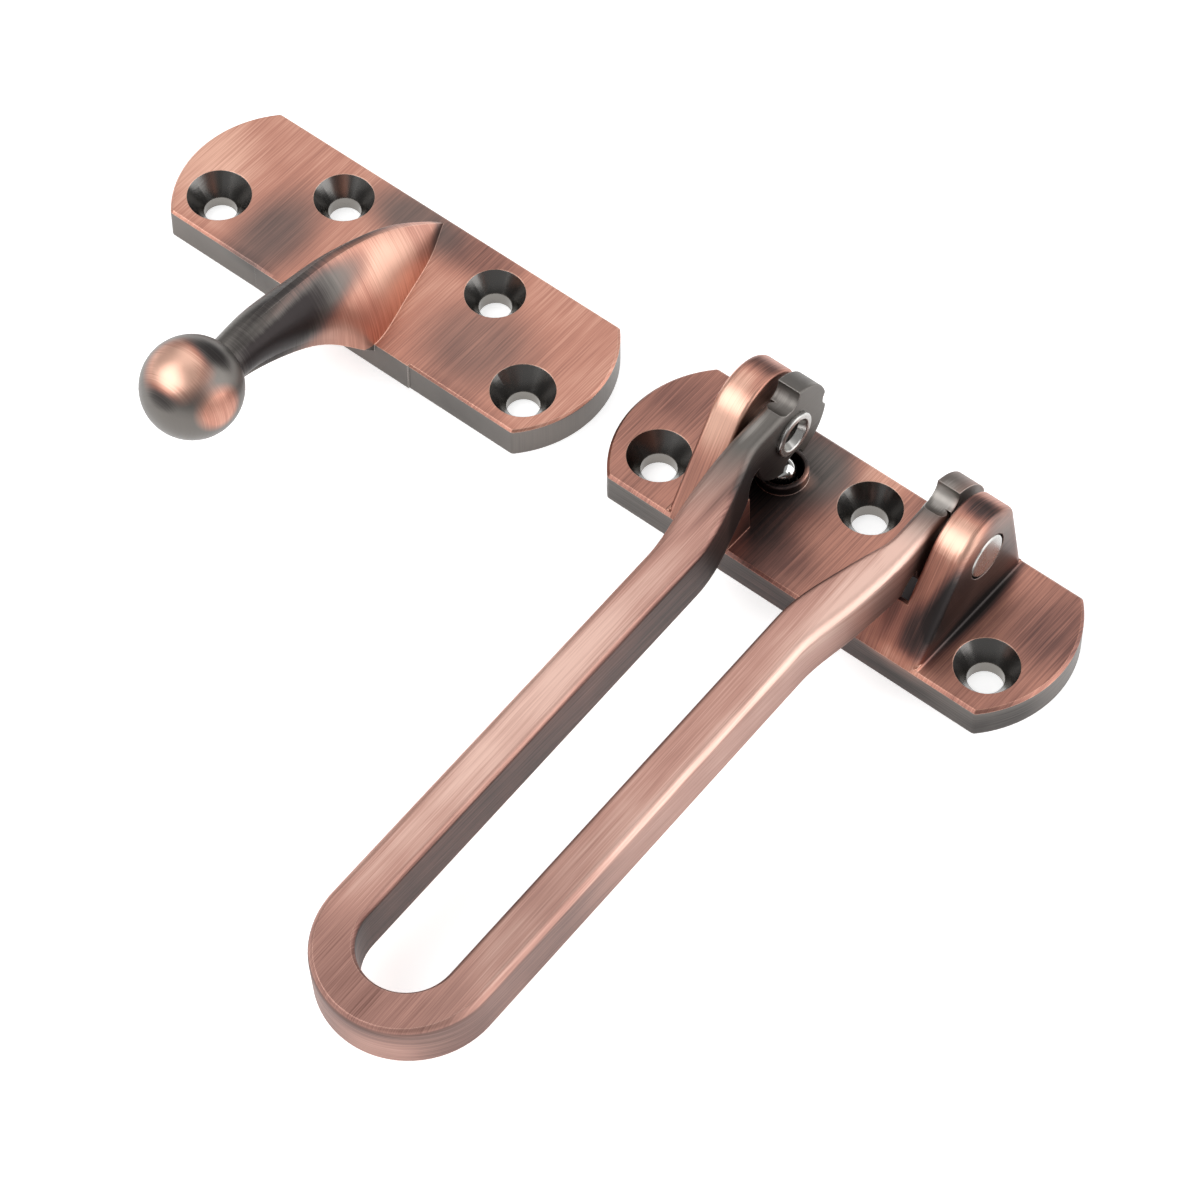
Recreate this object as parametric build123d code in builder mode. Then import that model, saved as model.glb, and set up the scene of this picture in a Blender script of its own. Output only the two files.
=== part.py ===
# Swing bar door guard in two halves: a hinged U-shaped bar on its base plate, and the ball keeper
# that the bar drops over. All sizes are in millimetres.
# Frame: the origin is the centre of the base plate's underside, X runs along the plate, +Y to the
# back of the plate and +Z up, away from the door frame.

import os
from math import acos, asin, atan, atan2, cos, degrees, hypot, radians, sin, sqrt, tan

from build123d import *

os.makedirs("parts", exist_ok=True)

# Base plate: a flat casting with arched ends and a bevelled top edge
plate_length = 76.8
plate_width = 25.8
plate_thick = 5.2
plate_end_radius = 18.4
corner_radius = 0.8
bevel = 0.45

# Countersunk holes for No. 10 screws
screw_radius = 2.7
sink_radius = 4.85
sink_angle = 70
outer_hole_x = 29.6
outer_hole_y = -5.3
middle_hole_y = 6.45

# Hinge axis, along X
hinge_y = 3.3
hinge_z = 16.0

# Ears that carry the hinge pins, and the ramps that stop the bar
ear_inside = 17.1
ear_thick = 5.4
ear_radius = 7.6
ear_lean = 12
ear_back_round = 1.5
ear_outer_round = 1.2
ear_inner_round = 0.5
foot_round = 0.4
ramp_inside = 11.4
ramp_top = 12.1
ramp_flat = 0.7
ramp_back_y = -7.2
root_z = 1.0

# Detent cup, spring and ball under the left knuckle
cup_x = -13.75
cup_radius = 4.0
cup_height = 1.65
cup_rim_round = 0.3
cup_bore = 3.3
cup_floor = 0.8
ball_radius = 2.3
ball_gap = 0.05
wire_radius = 0.3
coil_radius = 2.3
coil_turns = 4

# Hinge pins: headed tubular rivets
pin_radius = 3.1
pin_head_radius = 3.55
pin_head_depth = 2.0
pin_head_round = 0.45
pin_head_gap = 0.2
pin_proud = 0.1
pin_flare_radius = 3.7
pin_flare_end = 11.5
pin_flare_round = 0.3
pin_mouth_radius = 2.65
pin_bore_radius = 2.1
pin_bore_end = 17.0
running_gap = 0.05

# Swing bar, measured in its own plane through the hinge axis, which droops to rest on the ramps
bar_droop = 4.33
bar_above = 5.93
bar_below = 2.87
loop_outside = 13.6
loop_inside = 7.15
loop_centre_y = -99.2
arm_end_y = 0.1
top_outer_round = 1.5
top_inner_round = 1.1
bottom_outer_round = 1.0
knuckle_radius = 8.0
knuckle_inside = 12.2
knuckle_outside = 16.1
knuckle_outer_round = 0.5
knuckle_inner_round = 0.3
notch_radius = 2.25
notch_deep = 7.5
notch_shallow = 9.35
notch_top_y = -0.3
ground_from_y = -95.5
ground_depth = 0.28

# Keeper, lying beside the base plate on the same surface
keeper_x = -82.25
keeper_y = -2.95
keeper_length = 76.7
keeper_width = 25.2
keeper_thick = 5.3
keeper_bevel = 0.35
keeper_end_radius = 18.2
keeper_screw_radius = 2.5
front_hole_x = 29.7
front_hole_y = -5.6
front_sink_radius = 4.95
back_hole_x = 14.8
back_hole_y = 5.9
back_sink_radius = 4.65
lip_fade = -16.5
lip_left = -10.0
lip_right = 13.6
lip_proud = 0.2
keeper_ball_radius = 7.65
keeper_ball_y = -43.7
keeper_ball_z = 19.8

# Stations along the keeper's arm, from its tip on the plate to its neck at the ball. Each gives
# the distance along Y, the ridge's height and half width, the lower edge's half width and height,
# the height of the underside, and how far the flank swells out as a share of its own length.
arm_stations = [
    (11.4, 5.4, 0.10, 0.20, 4.7, 1.0, 0.05),
    (9.5, 7.2, 0.25, 1.1, 4.7, 1.0, 0.05),
    (7.0, 9.4, 0.35, 2.3, 4.7, 1.0, 0.05),
    (1.0, 14.1, 0.50, 4.2, 4.7, 1.0, 0.07),
    (-6.0, 18.1, 0.55, 6.0, 4.7, 1.6, 0.08),
    (-12.5, 20.4, 0.60, 7.25, 4.8, 3.6, 0.09),
    (-18.5, 21.5, 0.60, 5.2, 10.5, 9.1, 0.12),
    (-24.5, 22.1, 0.60, 4.2, 14.5, 13.3, 0.17),
    (-30.5, 22.3, 0.50, 3.4, 16.5, 15.5, 0.25),
    (-35.4, 22.1, 0.35, 2.2, 16.1, 15.6, 0.33),
    (-39.0, 22.1, 0.35, 2.2, 16.1, 15.6, 0.33),
]

ear_outside = ear_inside + ear_thick
bevel_z = plate_thick - bevel
half_width = plate_width / 2
cup_top = plate_thick + cup_height
ball_z = hinge_z - knuckle_radius - ball_gap - ball_radius

# The ear's front face rises from the foot of the plate's bevel, tangent to the ear's round top
foot_run = hinge_y + half_width
foot_rise = hinge_z - bevel_z
ear_slope = degrees(atan2(foot_rise, foot_run) + asin(ear_radius / hypot(foot_run, foot_rise)))

# Its back face leans forward from the back edge of the plate until it meets the round top
back_distance = (half_width - hinge_y) * cos(radians(ear_lean)) - foot_rise * sin(radians(ear_lean))
back_angle = ear_lean + degrees(acos(back_distance / ear_radius))
ramp_top_y = (ramp_top - bevel_z) / tan(radians(ear_slope)) - half_width

# Planes of the swing bar: along its length, and square to the hinge axis
bar_plane = Plane(
    origin=(0, hinge_y, hinge_z),
    x_dir=(1, 0, 0),
    z_dir=(0, -sin(radians(bar_droop)), cos(radians(bar_droop))),
)
bar_side = Plane(origin=bar_plane.origin, x_dir=bar_plane.y_dir, z_dir=(1, 0, 0))
bar_front = Plane(origin=bar_plane.origin, x_dir=(1, 0, 0), z_dir=-bar_plane.y_dir)
bar_axis = Axis(bar_plane.origin, bar_plane.z_dir)


def plate_outline(length, width, end_radius):
    """A plate's outline, with arched ends and slightly rounded corners."""
    corner_x = length / 2 - end_radius + sqrt(end_radius**2 - (width / 2) ** 2)
    with BuildSketch() as outline:
        with BuildLine():
            right = ThreePointArc((corner_x, -width / 2), (length / 2, 0), (corner_x, width / 2))
            left = ThreePointArc((-corner_x, width / 2), (-length / 2, 0), (-corner_x, -width / 2))
            Line(right @ 1, left @ 0)
            Line(left @ 1, right @ 0)
        make_face()
        fillet(outline.vertices(), radius=corner_radius)
    return outline.sketch


def swelling_curve(start, end, swell):
    """A smooth curve that swells to the left of its chord by a share of the chord's length."""
    start = Vector(start)
    end = Vector(end)
    turn = 2 * atan(2 * swell)
    handle = (end - start) * (4 / 3 * swell / sin(turn))
    first = start + handle.rotate(Axis.Z, degrees(turn))
    last = end - handle.rotate(Axis.Z, -degrees(turn))
    return Bezier(start, first, last, end)


# Base plate: ears, ramps and cup are rooted inside the plate, so that it is all one casting
with BuildPart() as base_plate:
    # Right ear: a straight front face, a round top about the hinge and a leaning back face
    with BuildSketch(Plane.YZ.offset(ear_inside)) as ear:
        with BuildLine():
            ear_top = CenterArc(
                (hinge_y, hinge_z), ear_radius, back_angle, ear_slope + 90 - back_angle
            )
            Polyline(
                ear_top @ 1,
                (-half_width, bevel_z),
                (-half_width, root_z),
                (half_width, root_z),
                (half_width, bevel_z),
                ear_top @ 0,
            )
        make_face()
        fillet(ear.vertices().sort_by_distance(ear_top @ 0)[0], radius=ear_back_round)
    extrude(amount=ear_thick)
    ear_rims = (
        base_plate.edges()
        .filter_by(Axis.X, reverse=True)
        .filter_by(lambda edge: edge.center().Z > root_z + 0.1)
        .group_by(Axis.X)
    )
    fillet(ear_rims[0], radius=ear_inner_round)
    fillet(ear_rims[-1], radius=ear_outer_round)

    # A small fillet along the foot of the ear's outer side
    foot_mid = foot_round * (1 - sqrt(0.5))
    with BuildSketch(Plane.XZ.offset(bevel - half_width)):
        with BuildLine():
            ThreePointArc(
                (ear_outside, plate_thick + foot_round),
                (ear_outside + foot_mid, plate_thick + foot_mid),
                (ear_outside + foot_round, plate_thick),
            )
            Polyline(
                (ear_outside + foot_round, plate_thick),
                (ear_outside + foot_round, root_z),
                (ear_outside - foot_round, root_z),
                (ear_outside - foot_round, plate_thick + foot_round),
                (ear_outside, plate_thick + foot_round),
            )
        make_face()
    extrude(amount=2 * (half_width - bevel))

    # Right ramp: its slope continues the front face of the ear
    with BuildSketch(Plane.YZ.offset(ramp_inside)):
        with BuildLine():
            Polyline(
                (-half_width, root_z),
                (-half_width, bevel_z),
                (ramp_top_y, ramp_top),
                (ramp_top_y + ramp_flat, ramp_top),
                (ramp_back_y, plate_thick),
                (ramp_back_y, root_z),
                close=True,
            )
        make_face()
    extrude(amount=ear_inside - ramp_inside + 1.5 * ear_inner_round)
    mirror(about=Plane.YZ)

    # Cup with a rounded rim, under the left knuckle
    with BuildSketch(Plane.XZ.offset(-hinge_y)) as cup:
        with Locations((cup_x, root_z)):
            Rectangle(cup_radius, cup_top - root_z, align=(Align.MIN, Align.MIN))
        fillet(cup.vertices().group_by(Axis.X)[-1].sort_by(Axis.Y)[-1], radius=cup_rim_round)
    revolve(axis=Axis((cup_x, hinge_y, 0), (0, 0, 1)))

    # Plate, with its top edge drawn in to form the bevel
    extrude(plate_outline(plate_length, plate_width, plate_end_radius), amount=bevel_z)
    with BuildSketch(Plane.XY.offset(bevel_z)):
        add(plate_outline(plate_length, plate_width, plate_end_radius))
    extrude(amount=bevel, taper=45)

    with Locations(Plane.XY.offset(plate_thick)):
        with Locations(
            (-outer_hole_x, outer_hole_y), (0, middle_hole_y), (outer_hole_x, outer_hole_y)
        ):
            CounterSinkHole(screw_radius, sink_radius, counter_sink_angle=sink_angle)
    with Locations((cup_x, hinge_y, cup_top)):
        Hole(cup_bore, depth=cup_top - cup_floor)

    # Each ear is bored for its pin, and counterbored for the pin's head
    for side in (-1, 1):
        outer_face = Plane(origin=(side * ear_outside, hinge_y, hinge_z), z_dir=(side, 0, 0))
        with Locations(outer_face):
            CounterBoreHole(
                pin_radius, pin_head_radius + pin_head_gap, pin_head_depth, depth=ear_thick + 1
            )

# Swing bar: a U loop whose arms joggle outwards to knuckles beside the ears. The joggle leaves
# room for the keeper's ball to pass between the arms, and the straight slot then holds it back.
with BuildPart() as swing_bar:
    with BuildSketch(bar_plane.offset(-bar_below)):
        with BuildLine():
            side_line = Line((loop_outside, loop_centre_y), (loop_outside, -31.5))
            joggle = Spline(
                side_line @ 1,
                (14.7, -23),
                (15.6, -16.5),
                (knuckle_outside, -8.5),
                tangents=((0, 1), (0, 1)),
            )
            Polyline(joggle @ 1, (knuckle_outside, arm_end_y), (0, arm_end_y))
            mirror(about=Plane.YZ)
            ThreePointArc(
                (-loop_outside, loop_centre_y),
                (0, loop_centre_y - loop_outside),
                (loop_outside, loop_centre_y),
            )
        make_face()
    extrude(amount=bar_above + bar_below)
    levels = swing_bar.faces().filter_by(bar_axis)
    top_rim = levels.sort_by(bar_axis)[-1].edges().sort_by(Axis.Y)[:-1]
    bottom_rim = levels.sort_by(bar_axis)[0].edges().sort_by(Axis.Y)[:-1]
    fillet(top_rim, radius=top_outer_round)
    fillet(bottom_rim, radius=bottom_outer_round)

    # Slot, widening into the gap between the knuckles
    with BuildSketch(bar_plane.offset(-bar_below)):
        with BuildLine():
            slot_line = Line((loop_inside, loop_centre_y), (loop_inside, -28.5))
            slot_joggle = Spline(
                slot_line @ 1,
                (7.8, -23),
                (9.5, -17),
                (11.3, -11.5),
                (knuckle_inside, -7),
                tangents=((0, 1), (0, 1)),
            )
            Polyline(slot_joggle @ 1, (knuckle_inside, arm_end_y), (0, arm_end_y))
            mirror(about=Plane.YZ)
            ThreePointArc(
                (-loop_inside, loop_centre_y),
                (0, loop_centre_y - loop_inside),
                (loop_inside, loop_centre_y),
            )
        make_face()
    extrude(amount=bar_above + bar_below, mode=Mode.SUBTRACT)
    slot_rim = swing_bar.edges(Select.LAST).group_by(bar_axis)[-1]
    fillet(slot_rim, radius=top_inner_round)

    # The underside of each arm curves up to leave the ramp and reach the front of the knuckle
    with BuildSketch(bar_side) as relief:
        with BuildLine():
            Spline(
                (-11.6, -bar_below - 0.1),
                (-10.7, -1.1),
                (-9.2, -0.15),
                (-6.4, 0.0),
                tangents=((0.35, 1), (1, 0)),
            )
            Polyline((-6.4, 0.0), (1, 0), (1, -bar_below - 0.1), (-11.6, -bar_below - 0.1))
        make_face()
    extrude(amount=2 * knuckle_outside, both=True, mode=Mode.SUBTRACT)

    # The top of the loop's end is ground flat, which leaves its outer edge crisp
    with BuildSketch(bar_side):
        with BuildLine():
            Polyline(
                (ground_from_y, bar_above),
                (ground_from_y, bar_above + 1),
                (loop_centre_y - loop_outside - 1, bar_above + 1),
                (loop_centre_y - loop_outside - 1, bar_above - ground_depth),
                close=True,
            )
        make_face()
    extrude(amount=2 * loop_outside, both=True, mode=Mode.SUBTRACT)

    # Knuckles: discs about the hinge with rounded rims, from the arm's top end round the back and
    # underneath to the front
    with BuildSketch(bar_front) as rim:
        with Locations((knuckle_inside, 0)):
            Rectangle(
                knuckle_outside - knuckle_inside, knuckle_radius, align=(Align.MIN, Align.MIN)
            )
        inner_corner = rim.vertices().sort_by_distance((knuckle_inside, knuckle_radius))[0]
        outer_corner = rim.vertices().sort_by_distance((knuckle_outside, knuckle_radius))[0]
        fillet(inner_corner, radius=knuckle_inner_round)
        fillet(outer_corner, radius=knuckle_outer_round)
        mirror(about=Plane.YZ)
    revolve(axis=Axis(bar_plane.origin, (-1, 0, 0)), revolution_arc=275)

    # Notches that the detent ball springs into: a deep one across the end of each arm's top, a
    # shallow one at the back and a deep one below
    with BuildSketch(bar_side):
        with Locations((notch_top_y, notch_deep), (notch_shallow, 0), (0, -notch_deep)):
            Circle(notch_radius)
    extrude(amount=2 * knuckle_outside, both=True, mode=Mode.SUBTRACT)
    with BuildSketch(bar_side):
        Circle(pin_radius + running_gap)
    extrude(amount=2 * knuckle_outside, both=True, mode=Mode.SUBTRACT)

# Hinge pins: the head is sunk in the ear, and the hollow end is flared over the knuckle
with BuildPart() as right_hinge_pin:
    with BuildSketch(Plane(origin=(0, hinge_y, hinge_z), x_dir=(1, 0, 0), z_dir=(0, -1, 0))) as pin:
        head_end = ear_outside + pin_proud
        with BuildLine():
            Polyline(
                (head_end, 0),
                (head_end, pin_head_radius),
                (ear_outside - pin_head_depth, pin_head_radius),
                (ear_outside - pin_head_depth, pin_radius),
                (knuckle_inside - running_gap, pin_radius),
                (knuckle_inside - running_gap, pin_flare_radius),
                (pin_flare_end, pin_flare_radius),
                (pin_flare_end, pin_mouth_radius),
                (knuckle_inside + 0.5, pin_bore_radius),
                (pin_bore_end, pin_bore_radius),
                (pin_bore_end, 0),
                close=True,
            )
        make_face()
        fillet(pin.vertices().sort_by_distance((head_end, pin_head_radius))[0], pin_head_round)
        flare_corners = (
            (pin_flare_end, pin_flare_radius),
            (pin_flare_end, pin_mouth_radius),
        )
        for corner in flare_corners:
            fillet(pin.vertices().sort_by_distance(corner)[0], pin_flare_round)
    revolve(axis=Axis((0, hinge_y, hinge_z), (1, 0, 0)))

with BuildPart() as left_hinge_pin:
    mirror(right_hinge_pin.part, about=Plane.YZ)

# Detent: the ball stands in the cup on a coil spring, just clear of the knuckle's rim
with BuildPart() as detent_ball:
    with Locations((cup_x, hinge_y, ball_z)):
        Sphere(ball_radius)

with BuildPart() as detent_spring:
    coil_start = cup_floor + wire_radius
    coil_end = ball_z - sqrt((ball_radius + wire_radius) ** 2 - coil_radius**2) - 0.02
    coil_height = coil_end - coil_start
    with BuildLine():
        coil = Helix(
            coil_height / coil_turns,
            coil_height,
            coil_radius,
            center=(cup_x, hinge_y, coil_start),
        )
    with BuildSketch(Plane(origin=coil @ 0, z_dir=coil % 0)):
        Circle(wire_radius)
    sweep(is_frenet=True)

# Keeper: a plate like the base plate, with a swelling arm that narrows to a neck and a ball
with BuildPart() as keeper:
    for y, ridge_z, ridge_half, foot_half, foot_z, under_z, swell in arm_stations:
        station = Plane(
            origin=(keeper_x, keeper_y + y, 0), x_dir=(1, 0, 0), z_dir=(0, -1, 0)
        )
        with BuildSketch(station):
            with BuildLine():
                flank = swelling_curve((ridge_half, ridge_z), (foot_half, foot_z), swell)
                add(flank)
                Line(flank @ 1, (foot_half, under_z))
                mirror(about=Plane.YZ)
                Line((-ridge_half, ridge_z), (ridge_half, ridge_z))
                Line((foot_half, under_z), (-foot_half, under_z))
            make_face()
    loft()
    with Locations((keeper_x, keeper_y + keeper_ball_y, keeper_ball_z)):
        Sphere(keeper_ball_radius)

    keeper_outline = plate_outline(keeper_length, keeper_width, keeper_end_radius)
    with BuildSketch(Plane((keeper_x, keeper_y, 0))):
        add(keeper_outline)
    extrude(amount=keeper_thick - keeper_bevel)
    with BuildSketch(Plane((keeper_x, keeper_y, keeper_thick - keeper_bevel))):
        add(keeper_outline)
    extrude(amount=keeper_bevel, taper=45)

    # The middle of the front stands a little proud with a sharp corner. It ends in a step on the
    # right and fades into the bevel on the left.
    front_y = keeper_y - keeper_width / 2
    lip_sections = (
        (lip_fade, 0.01, keeper_thick - keeper_bevel),
        (lip_left, lip_proud, keeper_thick),
        (lip_right, lip_proud, keeper_thick),
    )
    for x, proud, corner_z in lip_sections:
        with BuildSketch(Plane.YZ.offset(keeper_x + x)):
            with BuildLine():
                Polyline(
                    (front_y - proud, 0),
                    (front_y - proud, corner_z),
                    (front_y + keeper_bevel, keeper_thick),
                    (front_y + keeper_bevel, 0),
                    close=True,
                )
            make_face()
    loft(ruled=True)

    with Locations(Plane((keeper_x, keeper_y, keeper_thick))):
        with Locations((-front_hole_x, front_hole_y), (front_hole_x, front_hole_y)):
            CounterSinkHole(
                keeper_screw_radius, front_sink_radius, counter_sink_angle=sink_angle
            )
        with Locations((-back_hole_x, back_hole_y), (back_hole_x, back_hole_y)):
            CounterSinkHole(
                keeper_screw_radius, back_sink_radius, counter_sink_angle=sink_angle
            )

base_plate.part.label = "base_plate"
swing_bar.part.label = "swing_bar"
left_hinge_pin.part.label = "left_hinge_pin"
right_hinge_pin.part.label = "right_hinge_pin"
detent_spring.part.label = "detent_spring"
detent_ball.part.label = "detent_ball"
keeper.part.label = "keeper"

export_step(base_plate.part, "parts/base_plate.step")
export_step(swing_bar.part, "parts/swing_bar.step")
export_step(left_hinge_pin.part, "parts/left_hinge_pin.step")
export_step(right_hinge_pin.part, "parts/right_hinge_pin.step")
export_step(detent_spring.part, "parts/detent_spring.step")
export_step(detent_ball.part, "parts/detent_ball.step")
export_step(keeper.part, "parts/keeper.step")
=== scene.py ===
import bpy
import math
from mathutils import Matrix, Vector


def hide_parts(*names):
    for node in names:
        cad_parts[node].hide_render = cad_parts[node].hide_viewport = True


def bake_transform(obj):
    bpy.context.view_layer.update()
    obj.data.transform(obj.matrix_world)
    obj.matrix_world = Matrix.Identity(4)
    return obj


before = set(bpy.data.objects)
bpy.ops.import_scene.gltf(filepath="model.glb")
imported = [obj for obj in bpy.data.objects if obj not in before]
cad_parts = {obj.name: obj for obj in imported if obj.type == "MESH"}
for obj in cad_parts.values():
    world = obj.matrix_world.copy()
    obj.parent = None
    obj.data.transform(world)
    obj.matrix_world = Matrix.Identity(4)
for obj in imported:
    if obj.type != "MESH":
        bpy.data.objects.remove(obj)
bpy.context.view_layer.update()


# The camera looks down on the open guard from the loop's end of the swing bar, a little to the
# right, as a catalogue photograph does. The angles are in degrees, the distances in metres, and
# the offsets across and up the picture put the guard where it stands in the frame.
camera_turned = math.radians(39.085)
camera_looks_down = math.radians(54.068)
camera_away = 0.747245
camera_across = -0.034906
camera_up = -0.006153
film_width = 36.0
frame_width_px = 1200
focal_px = 5178

back = Vector((
    math.sin(camera_turned) * math.cos(camera_looks_down),
    -math.cos(camera_turned) * math.cos(camera_looks_down),
    math.sin(camera_looks_down),
))
across = Vector((math.cos(camera_turned), math.sin(camera_turned), 0.0))
up = back.cross(across)
lens = bpy.data.cameras.new("catalogue camera")
lens.sensor_width = film_width
lens.lens = film_width * focal_px / frame_width_px
lens.clip_start = 0.05
lens.clip_end = 20.0
camera = bpy.data.objects.new("catalogue camera", lens)
camera.matrix_world = Matrix.Translation(
    back * camera_away + across * camera_across + up * camera_up
) @ Matrix((across, up, back)).transposed().to_4x4()
bpy.context.scene.collection.objects.link(camera)
bpy.context.scene.camera = camera
bpy.context.scene.view_settings.view_transform = "Standard"


# The table is a sheet of matt white card that runs on past the picture. It is lifted to pure white
# for the eye and for what mirrors in the metal, and it still takes the guard's soft shadow. The
# light is a pale room and three soft boxes: overhead, low at the front left, and at the right.
table_side = 4.0
card_white = "F2F2F2"
card_lift = 0.58
room_level = 0.40
# Each soft box: where it stands, its width and height in metres, and its power in watts
soft_boxes = {
    "overhead box": ((-0.55, 0.70, 1.25), (1.4, 1.4), 5.5),
    "front left box": ((-0.62, -0.86, 1.00), (1.5, 1.1), 12.5),
    "right-hand box": ((1.15, 0.66, 0.60), (1.7, 1.5), 15.5),
}


def linear(code):
    """An sRGB hex colour as linear red, green, blue and alpha."""
    parts = [int(code[k:k + 2], 16) / 255 for k in (0, 2, 4)]
    return [p / 12.92 if p <= 0.04045 else ((p + 0.055) / 1.055) ** 2.4 for p in parts] + [1.0]


def add(tree, kind, settings=None, sockets=None):
    """Adds a shader node, sets its settings, and sets or links its sockets, by name or number."""
    made = tree.nodes.new(kind)
    for name, value in (settings or {}).items():
        setattr(made, name, value)
    for name, value in (sockets or {}).items():
        if isinstance(value, bpy.types.NodeSocket):
            tree.links.new(value, made.inputs[name])
        else:
            made.inputs[name].default_value = value
    return made


card = bpy.data.materials.new("matt white card")
card.use_nodes = True
tree = card.node_tree
tree.nodes.clear()
ray = add(tree, "ShaderNodeLightPath")
seen = add(tree, "ShaderNodeMath", {"operation": "ADD"}, {
    0: ray.outputs["Is Camera Ray"], 1: ray.outputs["Is Glossy Ray"],
})
seen = add(tree, "ShaderNodeMath", {"operation": "ADD", "use_clamp": True}, {
    0: seen.outputs[0], 1: ray.outputs["Is Transmission Ray"],
})
lift = add(tree, "ShaderNodeMath", {"operation": "MULTIPLY"}, {0: seen.outputs[0], 1: card_lift})
paper = add(tree, "ShaderNodeBsdfDiffuse", None, {"Color": linear(card_white)})
glow = add(tree, "ShaderNodeEmission", None, {
    "Color": linear("FFFFFF"), "Strength": lift.outputs[0],
})
both = add(tree, "ShaderNodeAddShader", None, {0: paper.outputs[0], 1: glow.outputs[0]})
add(tree, "ShaderNodeOutputMaterial", None, {"Surface": both.outputs[0]})
half = table_side / 2
card_mesh = bpy.data.meshes.new("table")
card_mesh.from_pydata(
    [(-half, -half, 0), (half, -half, 0), (half, half, 0), (-half, half, 0)], [], [(0, 1, 2, 3)]
)
card_mesh.materials.append(card)
table = bpy.data.objects.new("table", card_mesh)
bpy.context.scene.collection.objects.link(table)

room = bpy.data.worlds.new("pale room")
room.use_nodes = True
tree = room.node_tree
tree.nodes.clear()
walls = add(tree, "ShaderNodeBackground", None, {"Color": linear("FFFFFF"), "Strength": room_level})
add(tree, "ShaderNodeOutputWorld", None, {"Surface": walls.outputs[0]})
bpy.context.scene.world = room

for name, (place, size, power) in soft_boxes.items():
    box = bpy.data.lights.new(name, "AREA")
    box.shape = "RECTANGLE"
    box.size, box.size_y = size
    box.energy = power
    lamp = bpy.data.objects.new(name, box)
    lamp.location = place
    lamp.rotation_euler = (-Vector(place)).to_track_quat("-Z", "Y").to_euler()
    bpy.context.scene.collection.objects.link(lamp)


# The base plate is one zinc casting with its ears, ramps and detent cup. It is copper plated,
# darkened all over, and then brushed back to bare copper. The dark stays in corners and
# countersinks, and the plate's upright faces stay grey and darker, partly as unbrushed oxide and
# partly as painted shade. Painted shade darkens the plate under the knuckles and between the right
# arm and the right ear, and painted highlights brighten the ear fronts' tops and the cup's right
# side.
mm_per_metre = 1000.0
plate_coppers = ("E8BAA5", "BC8776")
red_brown = "7C5A53"
dark_brown = "524442"
black_brown = "343030"
grey_oxide = "706C68"
rubbed_and_highlight_grey = "A6A19C"
black_oxide = "6E6C6A"
raw_zinc = "8E8A85"

# Sizes of the brushing in mm. The real lines are finer, and these are as coarse as it takes to
# show. The bands are four times their size.
brush_line = 0.17
brush_length = 11.0
cloud_size = 14.3
fine = 1 / brush_line
long = 1 / brush_length
along_y = (fine, long, long)
level_round = (long, long, fine)

# Each countersink: its middle along and across the plate, and its radius (mm)
base_sinks = ((-29.6, -5.3, 4.85), (0.0, 6.45, 4.85), (29.6, -5.3, 4.85))
# Each smudge, patch of painted shade and patch of painted highlight: where (mm), how far it reaches
# (mm), and how dark, or less than 0 for brighter, rubbed bare or with a painted highlight
base_smudges_and_painted_light = (
    # Partly patina and partly painted shade, on the plate under the left knuckle
    ((-14.0, 3.0, 6.0), (13.0, 17.0, 8.0), 0.55),
    ((-2.0, 12.0, 5.2), (7.0, 6.0, 3.0), -0.25),
    ((-6.5, -9.0, 5.2), (9.0, 8.0, 3.0), 0.26),
    # Painted highlight on the lit right side of the detent cup
    ((-10.1, 4.4, 6.0), (2.2, 2.6, 2.2), -0.75),
    ((-33.0, 6.0, 5.2), (9.0, 10.0, 3.0), 0.12),
    ((34.0, 6.0, 5.2), (9.0, 11.0, 3.0), 0.22),
    ((20.4, -9.0, 9.5), (4.0, 6.0, 7.0), 0.45),
    ((22.2, -6.0, 14.0), (2.6, 8.0, 7.5), 0.68),
    # Painted highlight on the top of the right ear's front
    ((19.8, -0.4, 21.5), (5.0, 4.5, 4.5), -0.40),
    ((19.8, 5.0, 24.0), (5.0, 3.6, 3.4), 0.45),
    ((19.8, -12.9, 5.0), (8.0, 3.0, 3.0), -0.30),
    # Painted highlight on the top of the left ear's front
    ((-19.8, -1.5, 19.5), (5.0, 10.0, 10.0), -0.42),
    ((-19.8, 6.0, 23.5), (4.0, 3.2, 3.2), 0.25),
    ((22.6, 2.0, 11.0), (1.6, 16.0, 11.0), 0.50),
    ((23.0, 2.0, 5.6), (1.6, 17.0, 1.8), 0.45),
    # Painted shade on the plate under the right knuckle and in the gap between the right arm and
    # the right ear
    ((13.5, -2.0, 5.2), (4.0, 8.0, 3.0), 1.0),
    ((15.5, -5.0, 9.0), (2.4, 8.0, 8.0), 0.50),
    ((0.0, -13.2, 1.8), (90.0, 3.0, 5.0), 0.22),
    ((36.0, -9.0, 2.0), (8.0, 10.0, 4.0), 0.30),
)
# Each grey, the one under the left knuckle partly painted shade: where (mm), how far it reaches
# (mm), and how much of the copper it covers
base_greys_and_shade = (
    ((3.0, -13.0, 2.0), (32.0, 3.0, 8.0), -0.7),
    ((22.5, 7.0, 20.0), (1.4, 8.0, 8.0), 0.5),
    ((22.6, 2.0, 12.0), (1.6, 16.0, 14.0), 0.5),
    # Partly patina and partly painted shade, greying the plate under the left knuckle
    ((-10.0, 7.0, 5.2), (10.0, 9.0, 3.0), 0.7),
)


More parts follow.
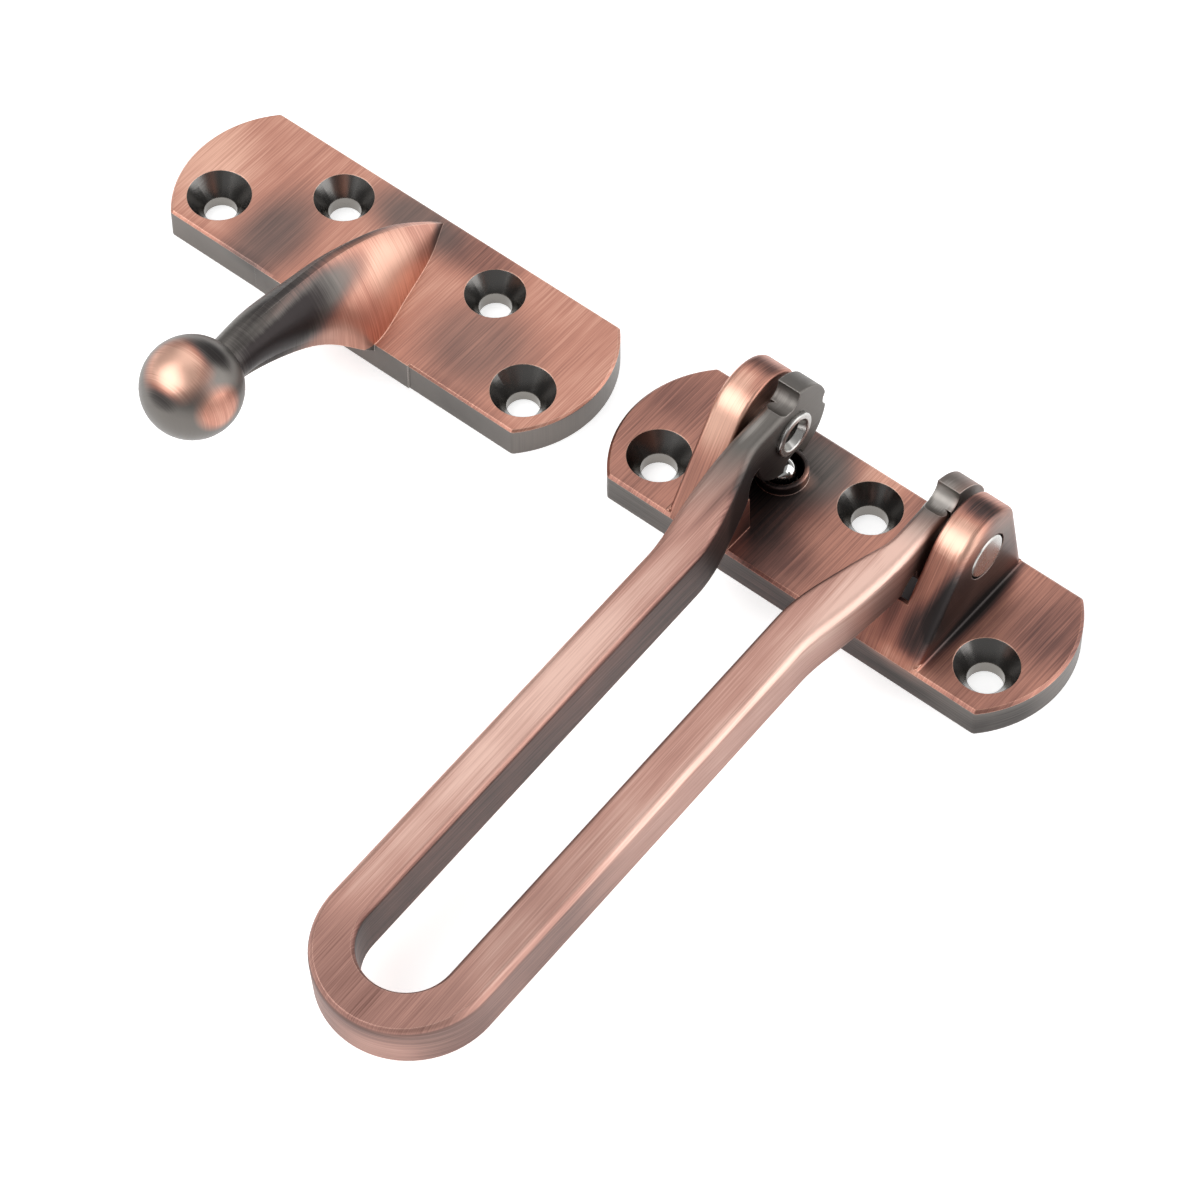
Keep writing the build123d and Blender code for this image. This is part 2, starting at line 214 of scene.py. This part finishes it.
def blotches(tree, place, ragged, patches, level):
    """Adds soft-edged patches to a level, each full at its core and gone at its reach, with edges
    as ragged as the brush left them."""
    core = 0.2
    for centre, reach, depth in patches:
        away = add(tree, "ShaderNodeVectorMath", {"operation": "SUBTRACT"}, {0: place, 1: centre})
        away = add(tree, "ShaderNodeVectorMath", {"operation": "DIVIDE"}, {
            0: away.outputs[0], 1: reach,
        })
        away = add(tree, "ShaderNodeVectorMath", {"operation": "LENGTH"}, {0: away.outputs[0]})
        away = add(tree, "ShaderNodeMath", {"operation": "ADD"}, {
            0: away.outputs["Value"], 1: ragged,
        })
        patch = add(tree, "ShaderNodeMapRange", {"interpolation_type": "SMOOTHSTEP"}, {
            "Value": away.outputs[0], 1: core, 2: 1.0, 3: depth, 4: 0.0,
        })
        level = add(tree, "ShaderNodeMath", {"operation": "ADD"}, {
            0: level, 1: patch.outputs[0],
        }).outputs[0]
    return level


def brushed_antique_copper(
    name, coppers, tone, bite, satin, smudges_and_painted_light, greys_and_shade, side_grey_and_shade, upright_run,
    top=None, turned_above=None, sinks=(), screw=0.0, slot_end=None,
):
    """Darkened copper plate brushed back by hand. It gives the eye fine lines along the work and
    a satin shine, clouded by how hard the brush bore, dark in smudges, in painted shade and in
    countersinks, grey where the brush never reached, darker and greyer on upright faces partly as
    painted shade, and bright along edges and in patches, partly worn and partly painted highlight.

    Coppers are its rubbed and its brushed colour, tone how dark it is on the whole, bite how
    deep the lines are, and satin how dull it is. Side_grey_and_shade is how grey the upright faces
    are, partly unbrushed oxide and partly painted shade, and upright_run is the run of their brush
    lines. Top is the plate's top face, turned_above the height from which all the lines take that
    other run, screw the radius of the screw holes, and slot_end the middle of the bar's rounded
    slot end, all in mm."""
    band_bite = 0.18
    cloud_bite = 0.30
    edge_break = 0.18
    edge_calm = 0.80
    side_oxide_and_shade = 0.25
    slot_dark = 0.25
    edge_wear_and_highlight = 0.35
    edge_radius_mm = 0.22
    line_depth_mm = 0.04
    line_dulling = 0.16
    cone_satin = 0.24
    top_margin = 0.04
    sink_margin = 0.10
    bore_margin = 0.08

    finish = bpy.data.materials.new(name)
    finish.use_nodes = True
    tree = finish.node_tree
    tree.nodes.clear()
    spot = add(tree, "ShaderNodeTexCoord")
    place = add(tree, "ShaderNodeVectorMath", {"operation": "SCALE"}, {
        0: spot.outputs["Object"], "Scale": mm_per_metre,
    }).outputs[0]
    at = add(tree, "ShaderNodeSeparateXYZ", None, {0: place})
    facing = add(tree, "ShaderNodeSeparateXYZ", None, {0: spot.outputs["Normal"]})

    # Upright faces come in from 60 to 75 degrees of slope, and the plate's sides lie below its top
    rise = add(tree, "ShaderNodeMath", {"operation": "ABSOLUTE"}, {0: facing.outputs["Z"]})
    upright = add(tree, "ShaderNodeMapRange", {"interpolation_type": "SMOOTHSTEP"}, {
        "Value": rise.outputs[0], 1: 0.5, 2: 0.25, 3: 0.0, 4: 1.0,
    }).outputs[0]
    below = 1.0
    if top is not None:
        below = add(tree, "ShaderNodeMath", {"operation": "LESS_THAN"}, {
            0: at.outputs["Z"], 1: top - top_margin,
        }).outputs[0]
    side = add(tree, "ShaderNodeMath", {"operation": "MULTIPLY"}, {0: upright, 1: below}).outputs[0]

    # Brush lines, and bands four times their size: fine across the brush's run and long along it
    turned = upright
    if turned_above is not None:
        above = add(tree, "ShaderNodeMath", {"operation": "GREATER_THAN"}, {
            0: at.outputs["Z"], 1: turned_above,
        })
        turned = add(tree, "ShaderNodeMath", {"operation": "MAXIMUM"}, {
            0: above.outputs[0], 1: upright,
        }).outputs[0]
    streaks = []
    for scale in (1.0, 0.25):
        ways = []
        for run in (along_y, upright_run):
            drawn = add(tree, "ShaderNodeVectorMath", {"operation": "MULTIPLY"}, {0: place, 1: run})
            ways.append(add(tree, "ShaderNodeTexNoise", None, {
                "Vector": drawn.outputs[0], "Scale": scale, "Detail": 2.0, "Roughness": 0.55,
            }).outputs["Fac"])
        streaks.append(add(tree, "ShaderNodeMix", {"data_type": "FLOAT"}, {
            0: turned, 2: ways[0], 3: ways[1],
        }).outputs[0])
    lines, bands = streaks
    clouds = add(tree, "ShaderNodeTexNoise", None, {
        "Vector": place, "Scale": 1 / cloud_size, "Detail": 2.0, "Roughness": 0.5,
    }).outputs["Fac"]

    # How dark the copper is here, from 0, rubbed bare, to 1, all oxide, with painted shade added by
    # some smudges and on upright faces, and painted highlights taken off by others
    dark = tone
    for pattern, swing in ((lines, bite), (bands, band_bite), (clouds, cloud_bite)):
        swung = add(tree, "ShaderNodeMath", {"operation": "MULTIPLY_ADD"}, {
            0: pattern, 1: swing, 2: -swing / 2,
        })
        dark = add(tree, "ShaderNodeMath", {"operation": "ADD"}, {
            0: dark, 1: swung.outputs[0],
        }).outputs[0]
    # Upright faces are darker, partly unbrushed oxide and partly painted shade
    dark = add(tree, "ShaderNodeMath", {"operation": "MULTIPLY_ADD"}, {
        0: side, 1: side_oxide_and_shade, 2: dark,
    }).outputs[0]

    # The bands break up the edges of the smudges and of the painted shade and highlights, and do so
    # less where the lines take the other run
    ragged = add(tree, "ShaderNodeMath", {"operation": "MULTIPLY_ADD"}, {
        0: bands, 1: 2 * edge_break, 2: -edge_break,
    })
    kept = add(tree, "ShaderNodeMath", {"operation": "MULTIPLY_ADD"}, {
        0: turned, 1: -edge_calm, 2: 1.0,
    })
    ragged = add(tree, "ShaderNodeMath", {"operation": "MULTIPLY"}, {
        0: ragged.outputs[0], 1: kept.outputs[0],
    })
    dark = blotches(tree, place, ragged.outputs[0], smudges_and_painted_light, dark)

    # How much of the grey film is left over the copper here, partly painted shade on upright faces
    # and under the base's left knuckle
    grey = add(tree, "ShaderNodeMath", {"operation": "MULTIPLY"}, {0: side, 1: side_grey_and_shade})
    grey = blotches(tree, place, 0.0, greys_and_shade, grey.outputs[0])

    if slot_end is not None:
        # The brush missed the slot's inside, whose walls face its middle line from some 7 mm away
        past = add(tree, "ShaderNodeMath", {"operation": "SUBTRACT"}, {
            0: at.outputs["Y"], 1: slot_end,
        })
        past = add(tree, "ShaderNodeMath", {"operation": "MINIMUM"}, {0: past.outputs[0], 1: 0.0})
        aside = add(tree, "ShaderNodeCombineXYZ", None, {0: at.outputs["X"], 1: past.outputs[0]})
        aside = add(tree, "ShaderNodeVectorMath", {"operation": "DOT_PRODUCT"}, {
            0: aside.outputs[0], 1: spot.outputs["Normal"],
        })
        inside = add(tree, "ShaderNodeMapRange", {"interpolation_type": "SMOOTHSTEP"}, {
            "Value": aside.outputs["Value"], 1: -2.0, 2: -6.5, 3: 0.0, 4: slot_dark,
        })
        dark = add(tree, "ShaderNodeMath", {"operation": "ADD"}, {
            0: dark, 1: inside.outputs[0],
        }).outputs[0]

    # Worn edges with a painted highlight: the rounded normal turns off the flat one only within its
    # radius of an edge, and the brighter edge, partly wear and partly painted highlight, sets in
    # from
    # 6 to 22 degrees
    rounded = add(tree, "ShaderNodeBevel", {"samples": 6}, {
        "Radius": edge_radius_mm / mm_per_metre,
    }).outputs[0]
    flat = add(tree, "ShaderNodeNewGeometry").outputs["Normal"]
    turn = add(tree, "ShaderNodeVectorMath", {"operation": "DOT_PRODUCT"}, {0: rounded, 1: flat})
    worn_and_highlight = add(tree, "ShaderNodeMapRange", {"interpolation_type": "SMOOTHSTEP"}, {
        "Value": turn.outputs["Value"], 1: 0.995, 2: 0.93, 3: 0.0, 4: 1.0,
    }).outputs[0]
    dark = add(tree, "ShaderNodeMath", {"operation": "MULTIPLY_ADD"}, {
        0: worn_and_highlight, 1: -edge_wear_and_highlight, 2: dark,
    }).outputs[0]

    # Copper and oxide by darkness, and over them the grey film, sooty where it is darkest, partly
    # as painted shade, and brighter where it is rubbed and along edges, partly as painted highlight
    shade = add(tree, "ShaderNodeValToRGB", None, {"Fac": dark})
    ramp = shade.color_ramp.elements
    ramp[0].color = linear(coppers[0])
    ramp[1].color = linear(black_brown)
    for position, code in ((0.30, coppers[1]), (0.62, red_brown), (0.82, dark_brown)):
        ramp.new(position).color = linear(code)
    soot_and_shade = add(tree, "ShaderNodeMapRange", {"interpolation_type": "SMOOTHSTEP"}, {
        "Value": dark, 1: 0.55, 2: 1.35, 3: 0.0, 4: 1.0,
    })
    film = add(tree, "ShaderNodeMix", {"data_type": "RGBA"}, {
        0: soot_and_shade.outputs[0], 6: linear(grey_oxide), 7: linear(black_brown),
    })
    rubbed_and_highlight = add(tree, "ShaderNodeMapRange", {"interpolation_type": "SMOOTHSTEP"}, {
        "Value": dark, 1: 0.1, 2: -0.6, 3: 0.0, 4: 1.0,
    })
    rubbed_and_highlight = add(tree, "ShaderNodeMath", {"operation": "MAXIMUM"}, {
        0: worn_and_highlight, 1: rubbed_and_highlight.outputs[0],
    })
    film = add(tree, "ShaderNodeMix", {"data_type": "RGBA"}, {
        0: rubbed_and_highlight.outputs[0], 6: film.outputs[2], 7: linear(rubbed_and_highlight_grey),
    })
    colour = add(tree, "ShaderNodeMix", {"data_type": "RGBA"}, {
        0: grey, 6: shade.outputs["Color"], 7: film.outputs[2],
    }).outputs[2]
    rough = add(tree, "ShaderNodeMath", {"operation": "MULTIPLY_ADD"}, {
        0: lines, 1: line_dulling, 2: satin,
    }).outputs[0]

    # Countersinks keep their black oxide, with rims brighter, partly worn and partly painted
    # highlight, and their bores show the bare casting
    for x, y, sink in sinks:
        out = add(tree, "ShaderNodeVectorMath", {"operation": "SUBTRACT"}, {
            0: place, 1: (x, y, 0.0),
        })
        out = add(tree, "ShaderNodeVectorMath", {"operation": "MULTIPLY"}, {
            0: out.outputs[0], 1: (1.0, 1.0, 0.0),
        })
        out = add(tree, "ShaderNodeVectorMath", {"operation": "LENGTH"}, {
            0: out.outputs[0],
        }).outputs["Value"]
        within = add(tree, "ShaderNodeMath", {"operation": "LESS_THAN"}, {
            0: out, 1: sink + sink_margin,
        })
        within = add(tree, "ShaderNodeMath", {"operation": "MULTIPLY"}, {
            0: within.outputs[0], 1: below,
        })
        cone = add(tree, "ShaderNodeMix", {"data_type": "RGBA"}, {
            0: worn_and_highlight, 6: linear(black_oxide), 7: linear(rubbed_and_highlight_grey),
        })
        colour = add(tree, "ShaderNodeMix", {"data_type": "RGBA"}, {
            0: within.outputs[0], 6: colour, 7: cone.outputs[2],
        }).outputs[2]
        rough = add(tree, "ShaderNodeMix", {"data_type": "FLOAT"}, {
            0: within.outputs[0], 2: rough, 3: cone_satin,
        }).outputs[0]
        bore = add(tree, "ShaderNodeMath", {"operation": "LESS_THAN"}, {
            0: out, 1: screw + bore_margin,
        })
        colour = add(tree, "ShaderNodeMix", {"data_type": "RGBA"}, {
            0: bore.outputs[0], 6: colour, 7: linear(raw_zinc),
        }).outputs[2]

    grain = add(tree, "ShaderNodeBump", None, {
        "Strength": 0.18, "Distance": line_depth_mm / mm_per_metre, "Height": lines,
        "Normal": rounded,
    })
    metal = add(tree, "ShaderNodeBsdfPrincipled", None, {
        "Base Color": colour, "Metallic": 1.0, "Roughness": rough, "Normal": grain.outputs[0],
    })
    add(tree, "ShaderNodeOutputMaterial", None, {"Surface": metal.outputs[0]})
    return finish


base_finish = brushed_antique_copper(
    "brushed antique copper plate on the base", plate_coppers, tone=0.41, bite=0.45, satin=0.32,
    smudges_and_painted_light=base_smudges_and_painted_light, greys_and_shade=base_greys_and_shade, side_grey_and_shade=0.9, upright_run=level_round,
    top=5.2, sinks=base_sinks, screw=2.7,
)
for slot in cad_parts["base_plate"].material_slots:
    slot.material = base_finish


# The detent is a chromed steel ball on a short coil spring of drawn steel wire, dropped loose into
# the cup under the left knuckle. Both are left bright. The spring is a copy of its solid's own
# form, and the solid itself is hidden.
bright_chrome = "E4E4E2"
grey_wire = "A9A8A5"


def bright_steel(name, tint, satin, marks_mm):
    """Hard bright steel. It gives the eye almost a mirror, dulled a little by faint marks of the
    given size, each a little greyer than the rest."""
    mark_tint = 0.5
    mark_dulling = 0.2
    finish = bpy.data.materials.new(name)
    finish.use_nodes = True
    tree = finish.node_tree
    tree.nodes.clear()
    spot = add(tree, "ShaderNodeTexCoord")
    marks = add(tree, "ShaderNodeTexNoise", None, {
        "Vector": spot.outputs["Object"], "Scale": mm_per_metre / marks_mm, "Detail": 2.0,
    }).outputs["Fac"]
    faint = add(tree, "ShaderNodeMath", {"operation": "MULTIPLY"}, {0: marks, 1: mark_tint})
    colour = add(tree, "ShaderNodeMix", {"data_type": "RGBA"}, {
        0: faint.outputs[0], 6: linear(tint), 7: linear(raw_zinc),
    })
    rough = add(tree, "ShaderNodeMath", {"operation": "MULTIPLY_ADD"}, {
        0: marks, 1: mark_dulling, 2: satin,
    })
    metal = add(tree, "ShaderNodeBsdfPrincipled", None, {
        "Base Color": colour.outputs[2], "Metallic": 1.0, "Roughness": rough.outputs[0],
    })
    add(tree, "ShaderNodeOutputMaterial", None, {"Surface": metal.outputs[0]})
    return finish


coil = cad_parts["detent_spring"]
spring = bpy.data.objects.new("detent_coil", coil.data.copy())
spring.matrix_world = coil.matrix_world
bpy.context.scene.collection.objects.link(spring)
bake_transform(spring)
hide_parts("detent_spring")
ball_finish = bright_steel("chromed bearing ball", bright_chrome, satin=0.05, marks_mm=1.2)
wire_finish = bright_steel("drawn spring wire", grey_wire, satin=0.2, marks_mm=0.4)
for piece, finish in ((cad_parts["detent_ball"], ball_finish), (spring, wire_finish)):
    for slot in piece.material_slots:
        slot.material = finish


# The two hinge pins are tubular rivets turned from bright steel. The head is sunk in the ear's
# outer side, and the hollow end is flared over the inner side of the knuckle.
pin_steel = "C9C8C5"
pin_finish = bright_steel("turned steel rivet", pin_steel, satin=0.18, marks_mm=3.0)
for name in ("left_hinge_pin", "right_hinge_pin"):
    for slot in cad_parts[name].material_slots:
        slot.material = pin_finish


# The swing bar is cast zinc with the same plating. The brush ran along the arms and round the
# loop's outside. It missed the slot's inside, the knuckles and the last of the arms beside them,
# which are still the grey of the dipped plating. Painted highlights brighten the right arm's outer
# side and rounding, and the knuckles' notches, which the ball also wears bright.
bar_coppers = ("E8C4B6", "C09487")
bar_smudges_and_painted_light = (
    ((-12.0, -24.0, 14.0), (8.0, 20.0, 8.0), 0.12),
    ((8.5, -16.0, 16.0), (3.5, 12.0, 8.0), 0.20),
    ((0.0, -106.0, 14.0), (24.0, 16.0, 4.0), 0.20),
    ((6.0, -109.0, 7.0), (11.0, 8.0, 6.0), -0.20),
    ((-10.8, -9.0, 13.0), (2.4, 22.0, 10.0), 1.2),
    ((-10.2, -56.0, 17.0), (4.5, 40.0, 10.0), -0.22),
    # Painted highlight along the right arm's outer side, rounding and joggle
    ((14.0, -46.0, 13.0), (3.4, 44.0, 16.0), -0.26),
    ((14.6, -20.0, 20.0), (4.4, 20.0, 8.0), -0.32),
    ((14.9, -5.5, 21.5), (4.0, 6.0, 4.0), -0.40),
    ((-15.5, -2.5, 21.0), (3.0, 6.0, 3.0), -0.60),
    # Partly worn by the ball and partly painted highlight, in the knuckles' notches
    ((-14.8, 4.0, 21.8), (4.0, 3.0, 3.0), -0.40),
    ((14.0, 4.2, 22.0), (4.0, 3.2, 3.2), -1.0),
    ((-12.0, 8.4, 19.0), (2.0, 7.0, 7.0), -0.60),
)
bar_greys = (
    ((-14.2, 3.3, 16.0), (8.0, 28.0, 26.0), 1.2),
    ((13.4, 4.5, 16.0), (7.0, 12.0, 18.0), 1.2),
    ((-14.0, -106.0, 8.0), (9.0, 12.0, 6.0), 0.4),
    ((10.5, -80.0, 12.0), (6.0, 34.0, 10.0), 0.2),
)
bar_finish = brushed_antique_copper(
    "brushed antique copper plate on the bar", bar_coppers, tone=0.27, bite=0.36, satin=0.42,
    smudges_and_painted_light=bar_smudges_and_painted_light, greys_and_shade=bar_greys, side_grey_and_shade=0.3, upright_run=level_round, slot_end=-99.2,
)
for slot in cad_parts["swing_bar"].material_slots:
    slot.material = bar_finish


# The keeper is the third casting: a plate with four countersinks and a swelling arm that ends in
# a ball. The plate is brushed across and the arm down its flanks. The neck and the ball's
# underside are left grey and dark, and a painted highlight runs along the arm's ridge.
across_arm = (long, fine, long)
keeper_top = 5.3
keeper_sinks = (
    (-111.95, -8.55, 4.95), (-97.05, 2.95, 4.65), (-67.45, 2.95, 4.65), (-52.55, -8.55, 4.95),
)
keeper_smudges_and_painted_light = (
    ((-78.5, -30.5, 20.0), (9.0, 18.0, 8.6), 1.24),
    # Painted highlight along the arm's ridge
    ((-80.6, -27.0, 23.0), (1.8, 16.0, 3.0), -0.9),
    ((-79.8, -17.0, 18.5), (2.8, 11.0, 4.5), 0.12),
    ((-79.0, -7.0, 12.0), (7.0, 9.0, 10.0), -0.30),
    ((-63.0, -6.0, 5.3), (13.0, 12.0, 3.0), 0.22),
    ((-82.6, -49.6, 27.0), (6.0, 5.0, 5.0), -0.45),
    ((-83.6, -14.0, 16.0), (2.4, 26.0, 14.0), 0.55),
    ((-100.7, -9.5, 5.3), (8.5, 15.0, 3.0), 0.32),
    ((-86.0, 6.5, 5.3), (11.0, 7.0, 3.0), 0.32),
    ((-74.0, 7.0, 5.3), (12.0, 7.0, 3.0), 0.30),
    ((-118.0, -4.0, 5.3), (9.0, 12.0, 3.0), -0.12),
    ((-58.0, -15.6, 2.5), (18.0, 3.0, 5.0), 0.22),
    ((-104.0, -15.6, 2.5), (18.0, 3.0, 5.0), 0.22),
    ((-79.7, -43.6, 26.6), (6.5, 3.0, 4.0), 0.9),
    ((-82.0, -53.2, 23.2), (5.0, 2.2, 2.4), 0.7),
)
keeper_greys = (
    ((-82.25, -46.7, 20.0), (40.0, 34.0, 40.0), 1.1),
    ((-83.8, -14.0, 16.0), (2.4, 26.0, 14.0), 0.8),
    ((-86.0, 6.5, 5.3), (13.0, 8.0, 3.0), 0.55),
    ((-100.7, -9.5, 5.3), (8.5, 15.0, 3.0), 0.45),
    ((-63.0, -6.0, 5.3), (13.0, 12.0, 3.0), 0.30),
    ((-79.6, -19.0, 18.5), (3.0, 12.0, 5.5), 0.8),
    ((-82.8, -49.4, 27.0), (7.4, 7.2, 6.6), -1.8),
    ((-75.2, -48.2, 21.7), (5.0, 4.8, 4.6), -1.7),
)
keeper_finish = brushed_antique_copper(
    "brushed antique copper plate on the keeper", plate_coppers, tone=0.27, bite=0.40, satin=0.32,
    smudges_and_painted_light=keeper_smudges_and_painted_light, greys_and_shade=keeper_greys, side_grey_and_shade=0.95, upright_run=across_arm,
    top=keeper_top, turned_above=keeper_top + 0.1, sinks=keeper_sinks, screw=2.5,
)
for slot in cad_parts["keeper"].material_slots:
    slot.material = keeper_finish
